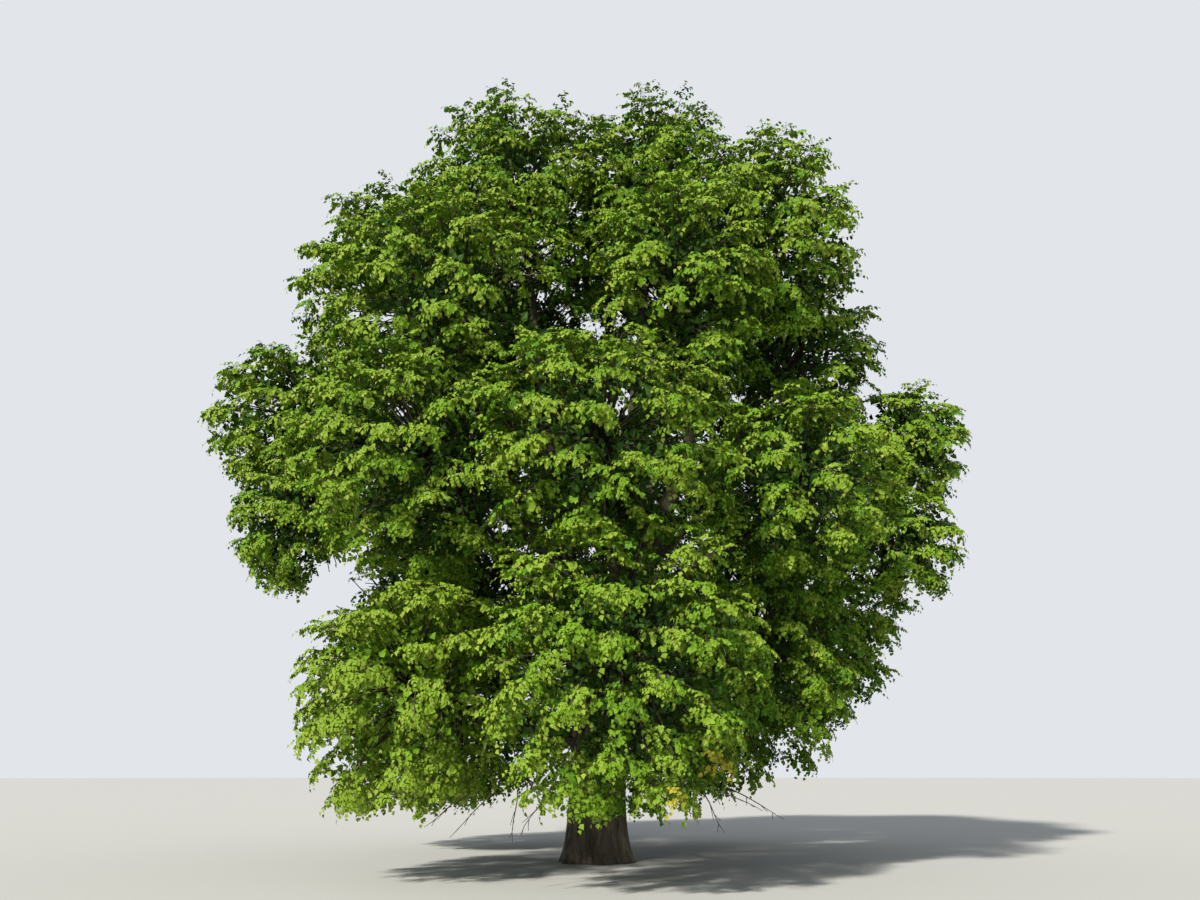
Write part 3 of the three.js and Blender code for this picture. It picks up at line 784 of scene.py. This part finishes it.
# Where sky shows and few leaves hang: across and down the picture, and the radius in metres.
PICTURE = (1200, 900)
SKY_GAPS = [
    (500, 262, 0.14),
    (512, 283, 0.12),
    (531, 272, 0.17),
    (546, 252, 0.14),
    (556, 286, 0.14),
    (540, 295, 0.14),
    (566, 312, 0.15),
    (585, 319, 0.17),
    (600, 331, 0.15),
    (617, 322, 0.13),
    (634, 340, 0.13),
    (652, 292, 0.15),
    (668, 306, 0.13),
    (352, 312, 0.16),
    (318, 300, 0.13),
    (303, 345, 0.1),
    (385, 325, 0.14),
    (270, 405, 0.1),
    (402, 410, 0.18),
    (521, 496, 0.13),
    (505, 521, 0.13),
    (548, 450, 0.12),
    (620, 400, 0.1),
    (331, 584, 0.46),
    (362, 588, 0.22),
    (865, 391, 0.19),
    (910, 592, 0.19),
    (590, 548, 0.1),
    (612, 566, 0.12),
    (664, 552, 0.11),
    (676, 566, 0.08),
    (762, 612, 0.09),
    (810, 585, 0.1),
    (770, 400, 0.08),
]
GAP_KEPT = 0.3
# Leaf tones by the sun: more light leaves towards it and darker ones where the crown shelters them,
# partly real sun and shade leaves and partly painted light and shade; more light leaves on the
# skirt's left side as painted sunlight; and yellowish drying leaves at one place.
SUN_WAY = np.array([-0.43, -0.68, 0.59])
SHELTER = SimpleNamespace(distances=(1.1, 2.3, 3.7), cover=0.86)
LIGHT_SHARE = np.array([0.5, 0.32, 0.16, 0.05])
MID_SHARE = np.array([0.93, 0.8, 0.65, 0.5])
# The low left of the crown gets more light leaves and a lighter tone under its pads: painted sunlight.
PAINTED_SUN_SHARE = {"low_left": 0.5}
DRY_PLACE = np.array([1.75, -6.0, 1.45])
DRY_REACH = 0.75
DRY_FROM = 0.62


def sight_line(across, down):
    """Where the line of sight through a place in the 1200 by 900 picture starts, and its way."""
    width, height = PICTURE
    focal = lens.lens / lens.sensor_width * width
    ahead = Vector(((across - width / 2) / focal, (height / 2 - down) / focal, -1))
    way = viewpoint.rotation_euler.to_matrix() @ ahead
    return np.array(viewpoint.location), np.array(way.normalized())


gap_lines = [(*sight_line(across, down), radius) for across, down, radius in SKY_GAPS]


def gap_distance(points):
    """How far each point is outside the nearest sky gap, less than 0 inside one."""
    nearest = np.full(len(points), np.inf)
    for eye, way, radius in gap_lines:
        offset = points - eye
        away = np.linalg.norm(offset - (offset @ way)[:, None] * way, axis=1)
        nearest = np.minimum(nearest, away - radius)
    return nearest


def is_inside(mass, points):
    """Which points lie in a mass's space, a little over its seams but under the crown's top."""
    offset = points - mass.heart
    length = np.linalg.norm(offset, axis=1)
    within = length < ROOM.outline * reach(mass, offset / length[:, None], ROOM.overlap)
    return within & (points[:, 2] < ROOM.top)


def shelter(points):
    """How much of the crown stands between each point and the sun, in steps from 0 to 3."""
    steps = np.zeros(len(points), int)
    for distance in SHELTER.distances:
        ahead = points + SUN_WAY * distance
        covered = [
            np.linalg.norm((ahead - mass.heart) / mass.half, axis=1) < SHELTER.cover
            for mass in masses.values()
        ]
        steps += np.any(covered, axis=0)
    return steps


def pad_sprays(mass, chance):
    """The sprays that fan out over the branches' ends: their starts, ways and faces."""
    starts = []
    ways = []
    facings = []
    hang = SKIRT.hang if mass.heart[2] < SKIRT.top else PAD_HANG
    for branch in mass.branches:
        steepness = abs(branch.way[2])
        heading = math.atan2(branch.way[1], branch.way[0])
        hand = 1 if next(chance) > 0.5 else -1
        carried = BURIED.sprays if branch.buried else len(SPRAY_SHARES)
        spots = on_line(branch.line, SPRAY_SHARES[:carried])
        for spot, turn in zip(spots, SPRAY_TURNS):
            aim = heading + hand * turn * (1 + steepness) + AIM.vary * (next(chance) - 0.5)
            pitch = AIM.rise * branch.way[2] - hang * (1 - steepness) - AIM.dip * abs(turn)
            pitch += AIM.pitch_vary * (next(chance) - 0.5)
            level = math.cos(pitch)
            starts.append(spot)
            ways.append(np.array([math.cos(aim) * level, math.sin(aim) * level, math.sin(pitch)]))
            facings.append(UP + branch.way * (AIM.face_out + AIM.face_vary * next(chance)))
    return starts, ways, facings


def any_ways(count, chance):
    """Ways that point anywhere."""
    return unit(np.array([[next(chance) - 0.5 for _ in range(3)] for _ in range(count)]))


def all_sprays(mass, chance):
    """All sprays of a mass, on its branches, stem and limb, and which of them are on the limb."""
    starts, ways, facings = pad_sprays(mass, chance)
    stem_spots = on_line(mass.stem, [next(chance) for _ in range(STEM_SPRAYS)])
    stem_ways = any_ways(STEM_SPRAYS, chance)
    run = np.linalg.norm(mass.limb[3] - mass.limb[0]) * (1 - LIMB_SHOOTS.first)
    shares = np.array([next(chance) for _ in range(round(run * LIMB_SHOOTS.per_metre))])
    limb_spots = on_line(mass.limb, LIMB_SHOOTS.first + (1 - LIMB_SHOOTS.first) * shares)
    limb_ways = any_ways(len(limb_spots), chance)
    starts = np.concatenate([starts, stem_spots, limb_spots])
    ways = np.concatenate([ways, stem_ways, limb_ways])
    level = np.tile(UP, (len(stem_spots) + len(limb_spots), 1))
    on_limb = np.arange(len(starts)) >= len(starts) - len(limb_spots)
    return starts, ways, np.concatenate([facings, level]), on_limb


def fitted(mass, starts, ways, lengths, on_limb):
    """Lengths shortened until a spray keeps to its space, and which sprays can stay."""
    sag = UP * FIT.sag
    for _ in range(FIT.tries):
        fits = on_limb | is_inside(mass, starts + (ways - sag) * lengths[:, None])
        lengths = np.where(fits, lengths, lengths * FIT.shrink)
    middles = starts + (ways - sag * FIT.middle_sag) * lengths[:, None] * FIT.middle
    to_limbs = np.linalg.norm(middles[:, None] - limb_points[None], axis=2).min(axis=1)
    is_clear = (to_limbs > ROOM.to_limb) & (gap_distance(middles) > ROOM.to_gap)
    return lengths, fits & is_clear & (lengths > SPRAY.least * mass.leaf_scale)


def spray_tones(mass, picks, starts, ends, on_limb):
    """The tone of each spray: lighter towards the sun and darker where the crown shelters it, partly
    real sun and shade leaves and partly painted light and shade; painted shade on the limb shoots,
    painted sunlight on the low left, and yellowish where shoots dry.
    """
    shade = shelter(ends)
    painted_sun = PAINTED_SUN_SHARE.get(mass.name, 0)
    light = picks < LIGHT_SHARE[shade] + painted_sun
    middling = picks < MID_SHARE[shade] + painted_sun
    tones = np.select([light, middling], [LIGHT, MID], DEEP)
    # Shoots on the limbs are painted in the shade and deep tones: painted shade.
    tones = np.where(on_limb, np.where(picks < LIMB_SHOOTS.shaded, SHADE, DEEP), tones)
    near_dry = np.linalg.norm(starts - DRY_PLACE, axis=1) < DRY_REACH
    return np.where(near_dry & (picks > DRY_FROM), DRY, tones)


def shade_leaves(mass, chance):
    """Single leaves along the branches, in the shade under their pads."""
    parts = []
    length = SHADE_LEAVES.length * mass.leaf_scale
    draws = [next(chance) for _ in range(SHADE_LEAVES.each * len(mass.branches) * SHADE_DRAWS)]
    draws = np.array(draws).reshape(len(mass.branches), SHADE_LEAVES.each, SHADE_DRAWS)
    for branch, picks in zip(mass.branches, draws):
        spots = on_line(branch.line, SHADE_LEAVES.first + picks[:, 0] * SHADE_LEAVES.run)
        ways = unit(picks[:, 1:4] - 0.5)
        facings = unit(picks[:, 4:7] - 0.5) + UP * SHADE_LEAVES.face_up
        roots = spots + ways * SHADE_LEAVES.away
        shown = (gap_distance(roots) > SHADE_GAP_ROOM) & is_inside(mass, roots + ways * length)
        if shown.any():
            frames = turned_frames(ways[shown], facings[shown]) * length
            parts.append(repeated(blade, frames, roots[shown]))
    return parts


limb_points = [on_line(mass.limb, np.linspace(0, 1, LIMB_STEPS)) for mass in masses.values()]
limb_points = np.concatenate(limb_points)
for mass in masses.values():
    chance = series(mass.seed + SEED_SHIFT)
    starts, ways, facings, on_limb = all_sprays(mass, chance)
    variety = np.array([SPRAY.shortest + SPRAY.vary * next(chance) for _ in starts])
    lengths, kept = fitted(mass, starts, ways, SPRAY.length * mass.leaf_scale * variety, on_limb)
    starts = starts[kept]
    ways = ways[kept]
    lengths = lengths[kept]
    frames = turned_frames(ways, facings[kept]) * lengths[:, None, None]
    kinds = np.array([int(next(chance) * SPRAY_KINDS) for _ in starts])
    picks = np.array([next(chance) for _ in starts])
    tones = spray_tones(mass, picks, starts, starts + ways * lengths[:, None], on_limb[kept])
    leaf_parts = []
    leaf_tones = []
    twig_parts = []
    for kind, spray in enumerate(sprays):
        chosen = kinds == kind
        if not chosen.any():
            continue
        points, triangles, _ = repeated(spray.blades, frames[chosen], starts[chosen])
        blade_points = points.reshape(-1, len(blade[0]), 3)
        stays = np.array([next(chance) for _ in blade_points]) < GAP_KEPT
        shown = stays | (gap_distance(blade_points.mean(axis=1)) > 0)
        tone = np.repeat(tones[chosen], len(spray.young))
        # A young leaf is one tone lighter than its spray.
        is_young = np.tile(spray.young, chosen.sum()) & (tone < DEEP)
        tone = np.where(is_young, tone - 1, tone)
        leaf_parts.append((points, triangles[np.repeat(shown, len(blade[1]))], None))
        leaf_tones.append(np.repeat(tone[shown], len(blade[1])))
        twig_parts.append(repeated(spray.twigs, frames[chosen], starts[chosen]))
    # Leaves under the pads take the darkest tone as painted shade; on the low left a lighter one, as
    # painted sunlight.
    shaded_tone = MID if mass.name in PAINTED_SUN_SHARE else SHADE
    for part in shade_leaves(mass, chance):
        leaf_parts.append(part)
        leaf_tones.append(np.full(len(part[1]), shaded_tone))
    tones = np.concatenate(leaf_tones)
    leaves = joined(f"leaves_{mass.name}", leaf_parts, leaf_finishes, tones, smooth=False)
    twigs = joined(f"twigs_{mass.name}", twig_parts, [twig_finish])
    for piece, slot in ((leaves, "foliage"), (twigs, "bough")):
        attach(piece, "root")
        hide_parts(f"foliage_{mass.name}")

# Dead shoots. A few thin shoots have died under the skirt and hang bare below its leaves, each a
# crooked brown twig with three small forks.
DEAD_SHOOTS = [
    ((-1.15, -4.95, 1.35), (-1.2, -5.05, 0.66)),
    ((-1.5, -4.6, 1.35), (-2.15, -4.75, 0.7)),
    ((-1.9, -4.7, 1.3), (-2.5, -4.9, 0.86)),
    ((-0.75, -5.3, 1.25), (-1.05, -5.5, 0.78)),
    ((1.35, -5.6, 1.5), (2.25, -6.1, 1.12)),
    ((1.5, -5.4, 1.35), (1.75, -5.95, 0.84)),
    ((1.9, -5.2, 1.4), (2.6, -5.75, 1.0)),
    ((0.9, -5.9, 1.3), (1.35, -6.3, 1.05)),
]
DEAD_SEED = 97
DEAD_TWIG = SimpleNamespace(foot=0.011, tip=0.004, sides=3, ring_step=0.12, lift=0.06)
FORK_SHARES = (0.35, 0.6, 0.8)
FORK = SimpleNamespace(length=0.24, shortest=0.6, vary=0.8, taper=1.2, foot=0.6, ring_step=0.1)
FORK_WAY = SimpleNamespace(spread=1.6, dip=0.6, sag=0.02)
chance = series(DEAD_SEED)
dead_parts = []
for start, end in DEAD_SHOOTS:
    start = np.array(start)
    run = np.array(end) - start
    bend = np.cross(run, UP) * (next(chance) - 0.5)
    first = start + run / 3 + bend + UP * DEAD_TWIG.lift
    line = (start, first, start + run * 2 / 3 - bend, start + run)
    twig_radii = (DEAD_TWIG.foot, DEAD_TWIG.tip)
    dead_parts.append(limb_parts(line, *twig_radii, DEAD_TWIG.sides, DEAD_TWIG.ring_step))
    for share in FORK_SHARES:
        fork = on_line(line, share)[0]
        aside = np.array([next(chance) - 0.5, next(chance) - 0.5, -FORK_WAY.dip * next(chance)])
        away = unit(unit(run) + aside * FORK_WAY.spread)
        away = away * FORK.length * (FORK.shortest + FORK.vary * next(chance)) * (FORK.taper - share)
        side = (fork, fork + away / 3, fork + away * 2 / 3 - UP * FORK_WAY.sag, fork + away)
        fork_radii = (DEAD_TWIG.foot * FORK.foot, DEAD_TWIG.tip)
        dead_parts.append(limb_parts(side, *fork_radii, DEAD_TWIG.sides, FORK.ring_step))
dead_shoots = joined("dead_shoots", dead_parts, [bough_bark_painted_shade])
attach(dead_shoots, "root")

# Floor. A plain pale matt studio floor that the tree's flat cut stands on. It is one flat round
# sheet, wide enough for its edge to stand as the horizon.
ground = bmesh.new()
bmesh.ops.create_circle(ground, cap_ends=True, segments=96, radius=400)
floor_mesh = bpy.data.meshes.new("floor")
ground.to_mesh(floor_mesh)
ground.free()
floor = bpy.data.objects.new("floor", floor_mesh)
bpy.context.scene.collection.objects.link(floor)
floor_finish = bpy.data.materials.new("pale_floor")
floor_finish.use_nodes = True
floor_finish.node_tree.nodes["Principled BSDF"].inputs["Base Color"].default_value = (0.5, 0.5, 0.48, 1)
floor_finish.node_tree.nodes["Principled BSDF"].inputs["Roughness"].default_value = 0.9
floor_mesh.materials.append(floor_finish)

# Light. A soft key from the upper left in front, as the afternoon sun stands in the picture, and an
# even pale surround that fills the shade.
key = bpy.data.lights.new("key", "SUN")
key.energy = 5.4
key.angle = math.radians(4)
key.color = (1.0, 0.96, 0.88)
key_light = bpy.data.objects.new("key", key)
key_light.rotation_euler = Vector(SUN_WAY).to_track_quat("Z", "Y").to_euler()
bpy.context.scene.collection.objects.link(key_light)
surround = bpy.data.worlds.new("surround")
surround.use_nodes = True
bpy.context.scene.world = surround
sky = surround.node_tree
fill = sky.nodes["Background"]
fill.inputs["Color"].default_value = (0.86, 0.92, 1.0, 1)
fill.inputs["Strength"].default_value = 0.46
backdrop = node(sky, "ShaderNodeBackground", Color=(0.8, 0.83, 0.87, 1), Strength=0.95)
seen = node(sky, "ShaderNodeLightPath")
either = node(sky, "ShaderNodeMixShader")
sky.links.new(seen.outputs["Is Camera Ray"], either.inputs["Fac"])
sky.links.new(fill.outputs["Background"], either.inputs[1])
sky.links.new(backdrop.outputs["Background"], either.inputs[2])
sky.links.new(either.outputs["Shader"], sky.nodes["World Output"].inputs["Surface"])
bpy.context.scene.view_settings.view_transform = "Standard"

bpy.context.view_layer.update()
